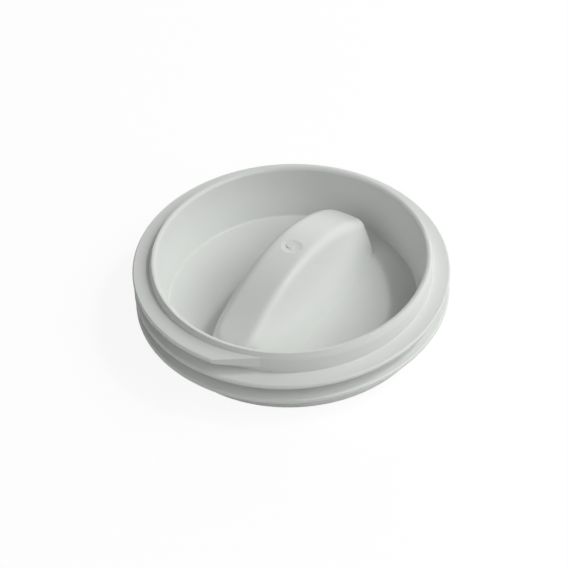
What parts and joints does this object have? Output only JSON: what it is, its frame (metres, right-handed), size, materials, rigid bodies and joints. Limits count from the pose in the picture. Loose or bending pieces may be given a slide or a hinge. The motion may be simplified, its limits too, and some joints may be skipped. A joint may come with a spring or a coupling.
{
  "type": "pump filter cap",
  "caption": "Round screw-in cap of a washing machine's pump filter, off-white plastic, with an arched grip bar across the recess and a coarse thread round the wall.",
  "frame": {"origin": "centre of the foot ring's underside, on the cap's axis", "axes": "+Z along the cap's axis from the foot ring up to the open rim, +X along the grip bar, +Y across it"},
  "size_m": [0.075, 0.075, 0.0194],
  "materials": {
    "body": "satin moulded off-white plastic with a very slight green cast"
  },
  "bodies": {
    "root": {"filter_cap": "body"}
  },
  "joints": []
}
